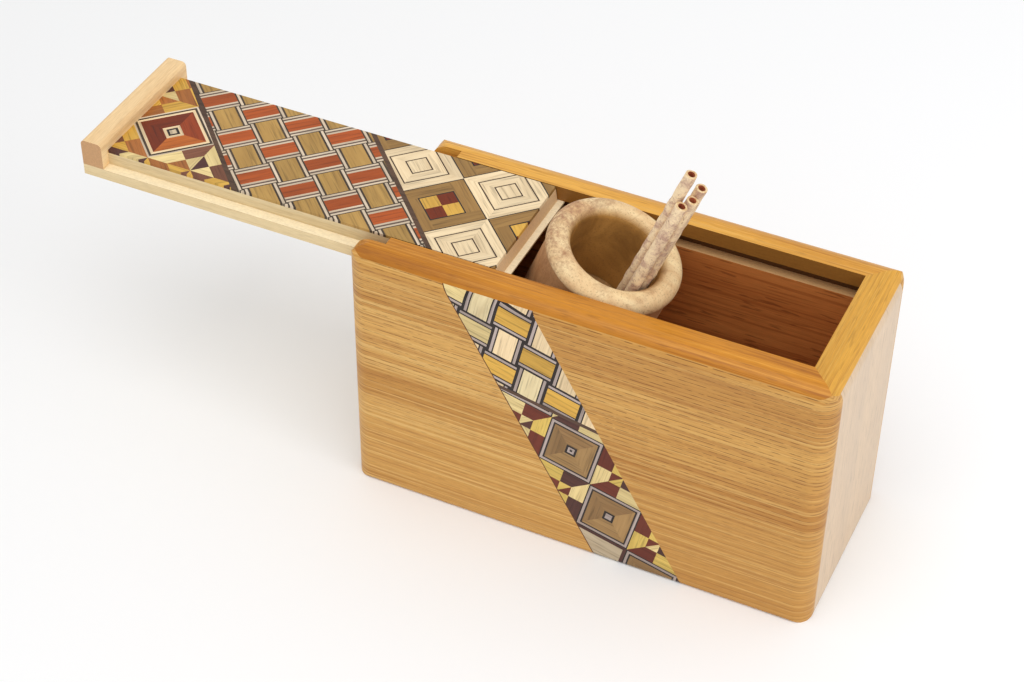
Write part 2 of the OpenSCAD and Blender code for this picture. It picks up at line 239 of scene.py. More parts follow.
def pore_rows(tree, place):
    """Rows of short pores along X, a gap apart up the board, which fade down the front."""
    height = parts_of(tree, place)["Z"]
    wave = noise(tree, stretched(tree, place, (5, 5, 45)), 1, 3, 0.5)
    rows = maths(tree, "MULTIPLY", height, 2 * math.pi / ROW_GAP)
    phase = maths(tree, "ADD", rows, maths(tree, "MULTIPLY", wave, ROW_WAVE))
    crest = ramp(tree, maths(tree, "SINE", phase), [(0.80, 0), (0.985, 1)])
    spots = stretched(tree, place, (1 / PORE_RUN, 1 / PORE_RUN, 0.9 / ROW_GAP))
    broken = noise(tree, spots, 1, 3, 0.6)
    dotted = maths(tree, "MULTIPLY", crest, ramp(tree, broken, [(0.43, 0), (0.56, 1)]))
    risen = maths(tree, "MULTIPLY", height, 1 / (BOX_TOP_Z * MM))
    return maths(tree, "MULTIPLY", dotted, ramp(tree, risen, [(0.25, 0.3), (0.62, 1)]))


PIT_SHADE = 0.72
CUT_SHADE = 0.965


def shaded(rgb, factor):
    return linear(tuple(c * factor for c in rgb))


def wood(name, axes, colours, lines, dashes, offset, rough=0.42, band=110, line=900, coat=0.06,
         rows=0.0, cut=None, cut_axis="X", stretch=14, spread=0.22, pale=None, under=None):
    """Wood with soft bands, thin darker lines, short pores and fibres, fine across the axes.

    colours are its dark and light bands and its streaks, lines and dashes the strength of its
    lines and pores, offset sets one board's grain off from another's, and band and line are
    features per metre. rows is the strength of its pore rows, cut the colour of faces along
    cut_axis, those below the height under if it is given, which is the wood's own colour on
    some boards, painted shade on the back lip and the back wall, and painted light on the lid's
    tongue and plate. spread is half the range of its soft bands and pale the colour of its
    light lines.
    """
    dark, light, streak = colours
    material, tree, shader = new_material(name)
    place = coordinates(tree)
    shift = (offset, offset * 1.7, offset * 0.6)

    def grain(fine, stretch, detail, roughness, distortion=0.0):
        scales = across(axes, fine, fine / stretch)
        return noise(tree, stretched(tree, place, scales, shift), 1, detail, roughness, distortion)

    tone = grain(band, stretch, 4, 0.55, 0.25)
    bands = ramp(tree, tone, [(0.5 - spread, 0), (0.5 + spread, 1)])
    colour = mixed(tree, bands, linear(dark), linear(light))
    thin = grain(line, 60, 3, 0.6, 0.1)
    share = ramp(tree, thin, [(0.50, 0), (0.60, lines), (0.8, lines)])
    colour = mixed(tree, share, colour, linear(streak))
    if pale:
        glints = ramp(tree, grain(1500, 130, 3, 0.6), [(0.50, 0), (0.66, 0.6)])
        colour = mixed(tree, glints, colour, linear(pale))
    pores = grain(1300, 9, 1, 0.5)
    pits = ramp(tree, pores, [(0.63, 0), (0.70, dashes), (1.0, dashes)])
    pit = shaded(streak, PIT_SHADE)
    colour = mixed(tree, pits, colour, pit)
    if rows:
        dotted = maths(tree, "MULTIPLY", pore_rows(tree, place), rows)
        colour = mixed(tree, dotted, colour, pit)
    # Faces along cut_axis take cut: end grain and raw edges on some boards, painted shade on the
    # back lip and wall, and painted light on the lid's tongue and plate end.
    if cut:
        ends = noise(tree, stretched(tree, place, (1500, 1500, 1500)), 1, 2, 0.5)
        tint = mixed(tree, ramp(tree, ends, [(0.35, 0), (0.65, 1)]),
                     shaded(cut, CUT_SHADE), linear(cut))
        chosen = facing(tree, cut_axis)
        if under:
            low = maths(tree, "LESS_THAN", parts_of(tree, place)["Z"], under)
            chosen = maths(tree, "MULTIPLY", chosen, low)
        colour = mixed(tree, chosen, colour, tint)
    fibres = grain(5200, 16, 1, 0.5)
    shade = ramp(tree, fibres, [(0.3, 0.90), (0.7, 1.05)])
    colour = mixed(tree, 1.0, colour, shade, "MULTIPLY")
    tree.links.new(colour, shader.inputs["Base Color"])
    gloss = ramp(tree, tone, [(0.2, rough - 0.04), (0.8, rough + 0.06)])
    tree.links.new(gloss, shader.inputs["Roughness"])
    shader.inputs["Specular IOR Level"].default_value = 0.22
    shader.inputs["Coat Weight"].default_value = coat
    shader.inputs["Coat Roughness"].default_value = 0.25
    bump(tree, shader, fibres, 0.10)
    return material


def marquetry_material():
    """Thin tiles, whose colour and grain are kept with each tile."""
    material, tree, shader = new_material("marquetry")
    place = mark(tree, "grain").outputs["Vector"]
    fibre = noise(tree, stretched(tree, place, (70, 1500, 1)), 1, 3, 0.6, 0.3)
    bands = noise(tree, stretched(tree, place, (38, 420, 1)), 1, 3, 0.6, 0.8)
    shade = mixed(tree, ramp(tree, bands, [(0.32, 0), (0.68, 1)]),
                  (0.88, 0.84, 0.78, 1), (1.10, 1.10, 1.08, 1))
    colour = mixed(tree, 1.0, mark(tree, "tint").outputs["Color"], shade, "MULTIPLY")
    threads = ramp(tree, fibre, [(0.34, 0.66), (0.48, 1.0), (0.75, 1.06)])
    colour = mixed(tree, 1.0, colour, threads, "MULTIPLY")
    tree.links.new(colour, shader.inputs["Base Color"])
    gloss = ramp(tree, bands, [(0.2, 0.34), (0.8, 0.44)])
    tree.links.new(gloss, shader.inputs["Roughness"])
    shader.inputs["Specular IOR Level"].default_value = 0.25
    shader.inputs["Coat Weight"].default_value = 0.04
    shader.inputs["Coat Roughness"].default_value = 0.2
    bump(tree, shader, fibre, 0.10)
    return material


def cup_material():
    """A turned cup: a tan lip darker towards -X with stain and painted shade, a body painted
    browner and redder as shade and reflected light, and darker inside.

    Its mesh says which is which: -1 on the body, 0 on the lip and up to 1 inside.
    """
    material, tree, shader = new_material("cup_wood")
    place = coordinates(tree)
    inside = mark(tree, "inside").outputs["Fac"]
    tone = noise(tree, stretched(tree, place, (60, 130, 60)), 1, 5, 0.62, 1.2)
    turned = ramp(tree, tone, [(0.32, 0), (0.66, 1)])
    lip = mixed(tree, turned, linear((0.86, 0.70, 0.50)), linear((0.97, 0.87, 0.67)))
    # Painted shade with stain: the lip turns a mottled reddish brown towards -X, its shaded side.
    away = maths(tree, "SUBTRACT", MOUTH.x * MM, parts_of(tree, place)["X"])
    minus_x_side = ramp(tree, maths(tree, "MULTIPLY", away, 1 / (CUP_R * MM)), [(0.1, 0), (0.95, 1)])
    mottle = noise(tree, place, 900, 4, 0.7)
    stain_and_shade = maths(tree, "MULTIPLY", minus_x_side, ramp(tree, mottle, [(0.36, 0.85), (0.60, 0.1)]))
    lip = mixed(tree, stain_and_shade, lip, linear((0.62, 0.40, 0.29)))
    # Painted shade: the body is a browner, redder copy of the lip's wood, for the shade and
    # reflected red light down in the box.
    body = mixed(tree, turned, linear((0.67, 0.47, 0.30)), linear((0.82, 0.63, 0.44)))
    outer = mixed(tree, maths(tree, "LESS_THAN", inside, -0.5), lip, body)
    blotch = noise(tree, stretched(tree, place, (150, 60, 230)), 1, 4, 0.6, 0.9)
    outer = mixed(tree, ramp(tree, blotch, [(0.56, 0), (0.72, 0.6)]), outer,
                  linear((0.56, 0.34, 0.20)))
    inner = mixed(tree, ramp(tree, tone, [(0.35, 0), (0.65, 1)]),
                  linear((0.60, 0.425, 0.195)), linear((0.76, 0.56, 0.28)))
    colour = mixed(tree, maths(tree, "MAXIMUM", inside, 0.0), outer, inner)
    speckle = noise(tree, place, 2100, 2, 0.5)
    colour = mixed(tree, ramp(tree, speckle, [(0.30, 0.35), (0.45, 0)]), colour,
                   linear((0.50, 0.35, 0.24)))
    tree.links.new(colour, shader.inputs["Base Color"])
    gloss = ramp(tree, speckle, [(0.2, 0.72), (0.8, 0.55)])
    tree.links.new(gloss, shader.inputs["Roughness"])
    bump(tree, shader, speckle, 0.30)
    return material


def reed_material():
    """A dry hollow reed: beige bark with grey-purple patches, cream rim, red-brown bore.

    Its mesh says which is which: 0 on the bark, 1 on the rim and 2 in the bore.
    """
    material, tree, shader = new_material("reed")
    place = coordinates(tree)
    zone = mark(tree, "zone").outputs["Fac"]
    patches = noise(tree, place, 340, 4, 0.62, 0.8)
    bark = mixed(tree, ramp(tree, patches, [(0.32, 0), (0.56, 1)]),
                 linear((0.75, 0.60, 0.52)), linear((0.98, 0.88, 0.72)))
    scales = noise(tree, place, 1500, 3, 0.6)
    bark = mixed(tree, ramp(tree, scales, [(0.30, 0.6), (0.44, 0)]), bark,
                 linear((0.56, 0.40, 0.33)))
    rim = mixed(tree, ramp(tree, scales, [(0.3, 0), (0.7, 1)]),
                linear((0.80, 0.62, 0.40)), linear((0.95, 0.86, 0.68)))
    bore = mixed(tree, ramp(tree, patches, [(0.3, 0), (0.7, 1)]),
                 linear((0.62, 0.30, 0.18)), linear((0.86, 0.52, 0.34)))
    on_rim = maths(tree, "GREATER_THAN", zone, 0.5)
    in_bore = maths(tree, "GREATER_THAN", zone, 1.5)
    colour = mixed(tree, in_bore, mixed(tree, on_rim, bark, rim), bore)
    tree.links.new(colour, shader.inputs["Base Color"])
    gloss = ramp(tree, scales, [(0.2, 0.75), (0.8, 0.5)])
    tree.links.new(gloss, shader.inputs["Roughness"])
    bump(tree, shader, scales, 0.45, 0.0002)
    return material


def steel_material():
    material, tree, shader = new_material("drawn_wire")
    place = coordinates(tree)
    marks = noise(tree, stretched(tree, place, (2500, 300, 2500)), 1, 2, 0.5)
    colour = mixed(tree, marks, linear((0.50, 0.50, 0.51)), linear((0.70, 0.70, 0.70)))
    tree.links.new(colour, shader.inputs["Base Color"])
    gloss = ramp(tree, marks, [(0.3, 0.25), (0.7, 0.42)])
    tree.links.new(gloss, shader.inputs["Roughness"])
    shader.inputs["Metallic"].default_value = 1.0
    return material


# Woods of the boards, each as its dark bands, its light bands and its streaks
HONEY = ((0.765, 0.55, 0.265), (0.875, 0.68, 0.38), (0.63, 0.39, 0.17))
HONEY_RIGHT = ((0.73, 0.51, 0.24), (0.84, 0.64, 0.345), (0.60, 0.36, 0.16))
# GOLD_END, GOLD_FRONT and GOLD_BACK are one gold rim wood in three brightnesses, lighter at the
# back and darker at the front: painted light and shade.
GOLD_END = ((0.71, 0.48, 0.155), (0.85, 0.625, 0.245), (0.60, 0.36, 0.11))
GOLD_FRONT = ((0.67, 0.41, 0.09), (0.81, 0.53, 0.14), (0.56, 0.30, 0.07))
GOLD_BACK = ((0.81, 0.56, 0.20), (0.93, 0.70, 0.31), (0.66, 0.40, 0.14))
RED = ((0.73, 0.43, 0.21), (0.88, 0.58, 0.31), (0.60, 0.31, 0.13))
PLATE = ((0.84, 0.745, 0.565), (0.91, 0.83, 0.665), (0.74, 0.61, 0.40))
PALE = ((0.88, 0.78, 0.59), (0.95, 0.87, 0.70), (0.78, 0.64, 0.42))
PINK = ((0.80, 0.69, 0.56), (0.87, 0.76, 0.63), (0.74, 0.62, 0.49))
PLAIN = ((0.66, 0.50, 0.32), (0.76, 0.60, 0.40), (0.50, 0.35, 0.20))
STRIP = ((0.28, 0.20, 0.15), (0.40, 0.30, 0.23), (0.18, 0.12, 0.09))
BAR = ((0.90, 0.75, 0.54), (0.97, 0.85, 0.66), (0.82, 0.62, 0.40))

# Colours of single faces
# Painted shadow: a dark brown on the back wall's inner face below the back lip, for the shade in
# the groove there.
GROOVE_SHADOW = (0.36, 0.23, 0.12)
# Painted shade: the back lip's inner face, which looks to the front, is a darker brown for the
# shade it stands in.
LIP_INSIDE_SHADE = (0.60, 0.41, 0.18)
RAW = (0.84, 0.66, 0.45)
# The lid plate's end grain, made lighter with painted light because these end faces stand in
# shade.
PLATE_END_LIT = (0.93, 0.79, 0.61)
# Painted highlight: the tongue's faces that look up or down are a brighter cream than its wood.
TONGUE_TOP_HIGHLIGHT = (1.0, 0.93, 0.78)
BAR_END = (0.80, 0.62, 0.44)

# What boards of one kind share
HONEY_BOARD = dict(axes="Z", lines=0.36, dashes=0.1, offset=0.0, rough=0.44, band=40, line=1400,
                   stretch=30, spread=0.10)
GOLD_BOARD = dict(lines=0.45, dashes=0.2, rough=0.36, band=90, line=1500, spread=0.14)
BACK_BOARD = dict(GOLD_BOARD, axes="YZ", colours=GOLD_BACK, offset=0.19, coat=0.1,
                  pale=(0.95, 0.74, 0.38), cut_axis="-Y")
RED_BOARD = dict(colours=RED, lines=0.5, dashes=0.5, rough=0.5, band=120, coat=0.0, cut=RAW,
                 cut_axis="Z")
LID_BOARD = dict(lines=0.25, dashes=0.1, rough=0.45)

BOARDS = {
    "honey": dict(HONEY_BOARD, colours=HONEY, rows=0.75, pale=(0.92, 0.76, 0.47)),
    "honey_right": dict(HONEY_BOARD, colours=HONEY_RIGHT, rows=0.85, pale=(0.89, 0.72, 0.43)),
    "honey_base": dict(axes="YZ", colours=HONEY, lines=0.5, dashes=0.6, offset=0.5),
    "gold_front": dict(GOLD_BOARD, axes="YZ", colours=GOLD_FRONT, offset=0.11, coat=0.2,
                       pale=(0.89, 0.62, 0.24)),
    # gold_back paints shade on the back lip's faces that look to -Y.
    "gold_back": dict(BACK_BOARD, cut=LIP_INSIDE_SHADE),
    # gold_rim paints a shadow on the back wall's faces that look to -Y, below the back lip.
    "gold_rim": dict(BACK_BOARD, cut=GROOVE_SHADOW, under=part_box("back_lip")[0].z),
    "gold_y": dict(GOLD_BOARD, axes="XZ", colours=GOLD_END, offset=0.23, coat=0.1,
                   pale=(0.90, 0.70, 0.32)),
    "pink_z": dict(axes="Y", colours=PINK, lines=0.20, dashes=0.28, offset=0.31, rough=0.36,
                   band=90, line=1500, coat=0.15, spread=0.3, stretch=25),
    "red_x": dict(RED_BOARD, axes="YZ", offset=0.07),
    "red_y": dict(RED_BOARD, axes="XZ", offset=0.17),
    # pale_x paints a highlight on the tongue's faces that look up or down.
    "pale_x": dict(LID_BOARD, axes="YZ", colours=PALE, offset=0.05, cut=TONGUE_TOP_HIGHLIGHT,
                   cut_axis="Z"),
    # plate_x gives its end faces the end grain's colour, lightened with painted light.
    "plate_x": dict(LID_BOARD, axes="YZ", colours=PLATE, offset=0.15, cut=PLATE_END_LIT),
    "bar": dict(LID_BOARD, axes="XZ", colours=BAR, offset=0.35, cut=BAR_END, cut_axis="Y"),
    "inner": dict(axes="YZ", colours=PLAIN, lines=0.4, dashes=0.2, offset=0.65),
    "strip": dict(axes="YZ", colours=STRIP, lines=0.4, dashes=0.2, offset=0.75),
}
FINISH = {name: wood(name, **facts) for name, facts in BOARDS.items()}
FINISH.update(steel=steel_material(), cup=cup_material(), reed=reed_material(),
              tiles=marquetry_material())

NODE_FINISH = {
    "bottom_board": "honey_base", "floor_liner": "red_x", "front_wall": "gold_front",
    "back_wall": "gold_rim", "right_end_wall": "gold_y", "left_end_wall": "gold_y",
    "front_veneer_left": "honey", "front_veneer_right": "honey_right", "back_veneer": "honey",
    "right_end_veneer": "pink_z", "left_end_veneer": "pink_z", "front_lip": "gold_front",
    "back_lip": "gold_back", "right_end_lip": "gold_y", "front_liner": "red_x",
    "back_liner": "red_x", "right_liner": "red_y", "left_liner": "red_y",
    "pivot_cheek_front": "inner", "pivot_cheek_back": "inner", "pivot_pin": "steel",
    "lift_spring": "steel", "cam_plate": "inner", "lid_tongue": "pale_x", "lid_plate": "plate_x",
    "lid_crossbar": "bar", "stop_cleat": "inner", "lid_strip_left": "strip",
    "lid_strip_right": "strip", "cup_foot": "inner", "reed_plug": "inner", "push_rod": "inner",
    "cross_pin": "steel",
}


def dress(node, finish):
    """Gives a carried CAD node its finish."""
    data = frame["nodes"][node].data
    data.materials.clear()
    data.materials.append(FINISH[finish])


# ---- flat tiles --------------------------------------------------------------------------
LEAST_STEP = 1e-12
LEAST_EDGE = 0.004
LEAST_AREA = 0.002
TINT_DRIFT = 0.13
GRAIN_SHIFT = 9
FAR = 1e6


def clip(points, normal, limit):
    """The part of a convex outline where dot(point, normal) <= limit."""
    made = []
    for i, b in enumerate(points):
        a = points[i - 1]
        da = a[0] * normal[0] + a[1] * normal[1] - limit
        db = b[0] * normal[0] + b[1] * normal[1] - limit
        if (da < 0) != (db < 0) and abs(da - db) > LEAST_STEP:
            t = da / (da - db)
            made.append((a[0] + (b[0] - a[0]) * t, a[1] + (b[1] - a[1]) * t))
        if db <= 0:
            made.append(b)
    return made


def area(points):
    """An outline's area, above 0 where it runs anticlockwise."""
    return 0.5 * sum(
        points[i - 1][0] * points[i][1] - points[i][0] * points[i - 1][1]
        for i in range(len(points)))


def clip_to(points, outline):
    """A convex tile cut to a convex outline that runs anticlockwise."""
    for i, b in enumerate(outline):
        a = outline[i - 1]
        normal = (b[1] - a[1], a[0] - b[0])
        points = clip(points, normal, normal[0] * a[0] + normal[1] * a[1])
        if len(points) < 3:
            return []
    return points


def without_doubles(points):
    """The outline without doubled corners, or nothing where it is only a sliver."""
    kept = [p for i, p in enumerate(points) if math.dist(p, points[i - 1]) > LEAST_EDGE]
    return kept if len(kept) > 2 and abs(area(kept)) > LEAST_AREA else []


class Pattern:
    """Tiles in a slanting lattice, whose two steps are given in millimetres."""

    def __init__(self, origin, step_a, step_b, seed):
        self.origin, self.a, self.b = origin, step_a, step_b
        self.random = random.Random(seed)
        self.tiles = []

    def place(self, u, v):
        return (self.origin[0] + u * self.a[0] + v * self.b[0],
                self.origin[1] + u * self.a[1] + v * self.b[1])

    def tile(self, corners, wood_name, grain):
        """Adds one tile; its corners and its grain direction are in lattice steps."""
        points = [self.place(*c) for c in corners]
        if area(points) < 0:
            points.reverse()
        run = (grain[0] * self.a[0] + grain[1] * self.b[0],
               grain[0] * self.a[1] + grain[1] * self.b[1])
        size = math.hypot(*run)
        self.tiles.append((points, wood_name, (run[0] / size, run[1] / size)))

    def rect(self, u0, u1, v0, v1, wood_name, grain):
        self.tile([(u0, v0), (u1, v0), (u1, v1), (u0, v1)], wood_name, grain)

    def ring(self, u, v, outer, inner, woods):
        """A mitred square ring: below, right, above and left."""
        o = [(u - outer, v - outer), (u + outer, v - outer), (u + outer, v + outer),
             (u - outer, v + outer)]
        n = [(u - inner, v - inner), (u + inner, v - inner), (u + inner, v + inner),
             (u - inner, v + inner)]
        for i in range(4):
            k = (i + 1) % 4
            self.tile([o[i], o[k], n[k], n[i]], woods[i % len(woods)], [(1, 0), (0, 1)][i % 2])


def build_tiles(name, tiles, outline, surface, under, cutter, seed):
    """One mesh of closed tiles, cut to the outline.

    surface(p) is a tile corner's outer place and under(p) its inner place, in millimetres.
    cutter(tile) gives the convex parts that a tile is laid in.
    """
    shuffle = random.Random(seed)
    vertices, faces, tints, grains = [], [], [], []
    for points, wood_name, run in tiles:
        laid = clip_to(points, outline)
        if not laid:
            continue
        drift = 1 + shuffle.uniform(-TINT_DRIFT, TINT_DRIFT)
        colour = [min(1.0, c * drift) for c in linear(WOODS[wood_name])[:3]] + [1.0]
        start = (shuffle.uniform(0, GRAIN_SHIFT), shuffle.uniform(0, GRAIN_SHIFT))
        for part in cutter(laid):
            part = without_doubles(part)
            if not part:
                continue
            n, base = len(part), len(vertices)
            vertices += [surface(p) for p in part] + [under(p) for p in part]
            rows = [list(range(n)), list(range(2 * n - 1, n - 1, -1))]
            rows += [[i, i + n, (i + 1) % n + n, (i + 1) % n] for i in range(n)]
            spots = [(p[0] * run[0] + p[1] * run[1], p[1] * run[0] - p[0] * run[1])
                     for p in part]
            for row in rows:
                faces.append([base + i for i in row])
                for i in row:
                    s = spots[i % n]
                    tints += colour
                    grains += (s[0] * MM + start[0], s[1] * MM + start[1], 0.0)
    mesh = bpy.data.meshes.new(name)
    mesh.from_pydata([[c * MM for c in v] for v in vertices], [], faces)
    tint = mesh.attributes.new("tint", "FLOAT_COLOR", "CORNER")
    tint.data.foreach_set("color", tints)
    grain = mesh.attributes.new("grain", "FLOAT_VECTOR", "CORNER")
    grain.data.foreach_set("vector", grains)
    mesh.materials.append(FINISH["tiles"])
    piece = bpy.data.objects.new(name, mesh)
    bpy.context.scene.collection.objects.link(piece)
    return piece


def whole(tile):
    """The cutter that leaves a tile in one piece."""
    return [tile]


def sliced(levels):
    """A cutter that cuts a tile at these levels of its second axis."""
    ends = [-FAR, *levels, FAR]

    def cut(tile):
        return [clip(clip(tile, (0, 1), high), (0, -1), -low)
                for low, high in zip(ends, ends[1:])]
    return cut


# ---- traditional motifs, in lattice steps ------------------------------------------------
def nested(pattern, u, v, steps, woods_in):
    """Square rings from outside in, each (outer, inner, woods), round a middle square."""
    for outer, inner, woods in steps:
        pattern.ring(u, v, outer, inner, woods if isinstance(woods, tuple) else (woods,))
    last = steps[-1][1]
    pattern.rect(u - last, u + last, v - last, v + last, woods_in, (1, 0))


def weave(pattern, u, v, crosswise, bands):
    """One cell of a basket weave: a strip and its edge lines, each (outer edge, wood)."""
    inner = 0.0
    for outer, wood_name in bands:
        sides = [(-outer, outer)] if inner == 0 else [(-outer, -inner), (inner, outer)]
        for w0, w1 in sides:
            if crosswise:
                pattern.rect(u + w0, u + w1, v - 0.5, v + 0.5, wood_name, (0, 1))
            else:
                pattern.rect(u - 0.5, u + 0.5, v + w0, v + w1, wood_name, (1, 0))
        inner = outer


def pinwheel(pattern, u, v, waist, light, dark):
    """A mitred square ring of eight half sides round a square of eight triangles.

    The two woods take turns; each is a list of woods to draw from.
    """
    turn = [(1, 0), (1, 1), (0, 1), (-1, 1), (-1, 0), (-1, -1), (0, -1), (1, -1)]
    draw = pattern.random.choice
    for i in range(8):
        a, b = turn[i], turn[(i + 1) % 8]
        outer, inner = (draw(dark), draw(light)) if i % 2 else (draw(light), draw(dark))
        low, high = (waist * a[0], waist * a[1]), (waist * b[0], waist * b[1])
        corners = [a, b, high, low]
        grain = (b[0] - a[0], b[1] - a[1])
        pattern.tile([(u + x, v + y) for x, y in corners], outer, grain)
        pattern.tile([(u, v), (u + low[0], v + low[1]), (u + high[0], v + high[1])], inner, a)


def four_patch(pattern, u, v, edge, band, patches):
    """Windmill strips round four small squares."""
    o, n, patch = 0.965, 0.54, 0.50
    pattern.ring(u, v, 1.0, o, (edge,))
    pattern.rect(u - o, u + n, v + n, v + o, band, (1, 0))
    pattern.rect(u + n, u + o, v - n, v + o, band, (0, 1))
    pattern.rect(u - n, u + o, v - o, v - n, band, (1, 0))
    pattern.rect(u - o, u - n, v - o, v + n, band, (0, 1))
    pattern.ring(u, v, n, patch, (edge,))
    for x in (-1, 1):
        for y in (-1, 1):
            u0, u1 = sorted((0, patch * x))
            v0, v1 = sorted((0, patch * y))
            pattern.rect(u + u0, u + u1, v + v0, v + v1, patches[x != y], (1, 0))


# ---- lid marquetry -----------------------------------------------------------------------
LID_A, LID_B = (6.45, -6.35), (6.45, 6.35)
HALF_LID = -LID_FRONT_Y
RUN = HALF_LID / STRIP_SLANT
END_SETBACK = 0.13


def lid_spot(x, y):
    """A place on the lid, from the crossbar and the front edge."""
    return (LID_LEFT_X + x, LID_FRONT_Y + y)


def lid_outline(node, left_slants, right_slants):
    """The outline of a lid panel, whose ends are square or slanting."""
    low, high = (c.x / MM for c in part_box(node))
    front_left = low + 2 * RUN if left_slants else low
    back_right = high - 2 * RUN if right_slants else high
    return [(front_left, LID_FRONT_Y), (high, LID_FRONT_Y), (back_right, HALF_LID),
            (low, HALF_LID)]


def lid_piece(node, pattern, outline, seed):
    """A lid panel's tiles; its right end is set back a little at the top."""
    piece = build_tiles(
        "tiles_" + node, pattern.tiles, outline,
        lambda p: (min(p[0], LID_RIGHT_X - END_SETBACK), p[1], LID_TOP_Z),
        lambda p: (p[0], p[1], LID_UNDER_Z), whole, seed)
    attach(piece, "lid")
    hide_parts(node)


MIDDLE_ALONG = [(0.32, "olive"), (0.38, "lid_line"), (0.455, "ash"), (0.5, "lid_line")]
MIDDLE_ACROSS = [(0.25, "redwood"), (0.325, "ash"), (0.39, "soft_line"), (0.465, "ash"),
                 (0.5, "lid_line")]


def middle_panel():
    """A basket weave of olive and red strips."""
    pattern = Pattern(lid_spot(21.2, 26.1), LID_A, LID_B, 1)
    for i in range(-14, 15):
        for j in range(-14, 15):
            crosswise = (i + j) % 2 == 1
            weave(pattern, i, j, crosswise, MIDDLE_ACROSS if crosswise else MIDDLE_ALONG)
    lid_piece("lid_panel_middle", pattern, lid_outline("lid_panel_middle", True, True), 11)


MASU_WHITE = [(1.0, 0.69, "white"), (0.69, 0.65, "thin_line"), (0.65, 0.325, "white"),
              (0.325, 0.285, "thin_line")]


def right_panel():
    """Nested squares and four-patches in turn."""
    pattern = Pattern(lid_spot(76.7, 29.65), LID_A, LID_B, 2)
    for i in range(-6, 7):
        for j in range(-6, 7):
            if (i + j) % 2 == 0:
                nested(pattern, 2 * i, 2 * j, MASU_WHITE, "white")
            else:
                four_patch(pattern, 2 * i, 2 * j, "line", "dark_olive", ("yellow", "deep_red"))
    lid_piece("lid_panel_right", pattern, lid_outline("lid_panel_right", True, False), 12)


LEFT_FRAME = [(1.0, 0.945, "ash"), (0.945, 0.875, "lid_line"), (0.875, 0.79, "cream"),
              (0.79, 0.26, ("deep_red", "orange", "russet", "deep_red")),
              (0.26, 0.17, "cream"), (0.17, 0.10, "line")]
LEFT_WAIST = 0.55
LEFT_LIGHT = ["yellow", "yellow", "yellow", "pale_yellow"]
LEFT_DARK = ["plum", "plum", "dark_plum", "chestnut"]


def left_panel():
    """A framed square among pinwheels."""
    pattern = Pattern(lid_spot(11.2, 14.5), LID_A, LID_B, 3)
    for i in range(-4, 5):
        for j in range(-4, 5):
            if i == 0 and j == 0:
                nested(pattern, 0, 0, LEFT_FRAME, "pale_grey")
            else:
                pinwheel(pattern, 2 * i, 2 * j, LEFT_WAIST, LEFT_LIGHT, LEFT_DARK)
    lid_piece("lid_panel_left", pattern, lid_outline("lid_panel_left", False, True), 13)


middle_panel()
right_panel()
left_panel()

# ---- front band --------------------------------------------------------------------------
BAND_HEAD = (BAND_LOW.x / MM, BAND_HIGH.z / MM)


def band_left(z):
    """Where the band's left edge is at this height."""
    return BAND_HEAD[0] + (BAND_HEAD[1] - z) * BAND_SLANT


BAND = [(band_left(0), 0), (band_left(0) + BAND_W, 0),
        (band_left(BOX_TOP_Z) + BAND_W, BOX_TOP_Z), (band_left(BOX_TOP_Z), BOX_TOP_Z)]


def front_spot(x, z):
    """A place on the front, from the open end and the underside."""
    return (x - BOX_END_X, z)


def front_skin(p):
    """A place on the front's outer surface, which rounds over at the top and the foot."""
    y = FRONT_Y
    if p[1] > BOX_TOP_Z - TOP_R:
        rise = min(p[1] - BOX_TOP_Z + TOP_R, TOP_R)
        y = FRONT_Y + TOP_R - math.sqrt(TOP_R ** 2 - rise ** 2)
    elif p[1] < FOOT_R:
        drop = min(FOOT_R - p[1], FOOT_R)
        y = FRONT_Y + FOOT_R - math.sqrt(FOOT_R ** 2 - drop ** 2)
    return (p[0], min(y, VENEER_BACK_Y), p[1])


TOP_FACETS, FOOT_FACETS = 6, 5


def rounding():
    """Heights where the rounded edges are cut into facets, within the veneer's thickness."""
    deep = VENEER_BACK_Y - FRONT_Y
    top = math.acos(1 - deep / TOP_R)
    foot = math.acos(1 - deep / FOOT_R)
    high = [BOX_TOP_Z - TOP_R + TOP_R * math.sin(top * k / TOP_FACETS)
            for k in range(TOP_FACETS + 1)]
    low = [FOOT_R - FOOT_R * math.sin(foot * k / FOOT_FACETS)
           for k in range(FOOT_FACETS, -1, -1)]
    return low, high


LOW_CUTS, HIGH_CUTS = rounding()
BAND_FLOOR, BAND_ROOF = LOW_CUTS[0], HIGH_CUTS[-1]


def share(outline, line, keep_above):
    """The part of the band above or below a slanting line given by two of its places."""
    (x0, z0), (x1, z1) = line
    normal = (z1 - z0, x0 - x1) if keep_above else (z0 - z1, x1 - x0)
    return clip(outline, normal, normal[0] * x0 + normal[1] * z0)


BAND = clip(clip(BAND, (0, 1), BAND_ROOF), (0, -1), -BAND_FLOOR)
STRIP_LINE = [front_spot(43.7, 48.7), front_spot(70.9, 43.7)]
STRIP_HALF = 0.55
STRIP_UP = [(x, z + STRIP_HALF) for x, z in STRIP_LINE]
STRIP_DOWN = [(x, z - STRIP_HALF) for x, z in STRIP_LINE]
EDGE_W = 0.32
BAND_EDGE = [(band_left(0), 0), (band_left(BOX_TOP_Z), BOX_TOP_Z)]
EDGE_LINE = [(x + EDGE_W, z) for x, z in BAND_EDGE]
INLAY = share(BAND, EDGE_LINE, False)
BAND_CUT = sliced([*LOW_CUTS[1:], *HIGH_CUTS[:-1]])


def band_piece(name, pattern, outline, seed):
    """Some of the band's tiles, laid over the front's rounded edges."""
    piece = build_tiles(
        name, pattern.tiles, outline, front_skin,
        lambda p: (p[0], VENEER_BACK_Y, p[1]), BAND_CUT, seed)
    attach(piece, "box")
    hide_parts("front_veneer_band")



BAND_LIGHT = ["yellow", "pale_yellow"]
BAND_WHITE = ["ivory", "cream"]


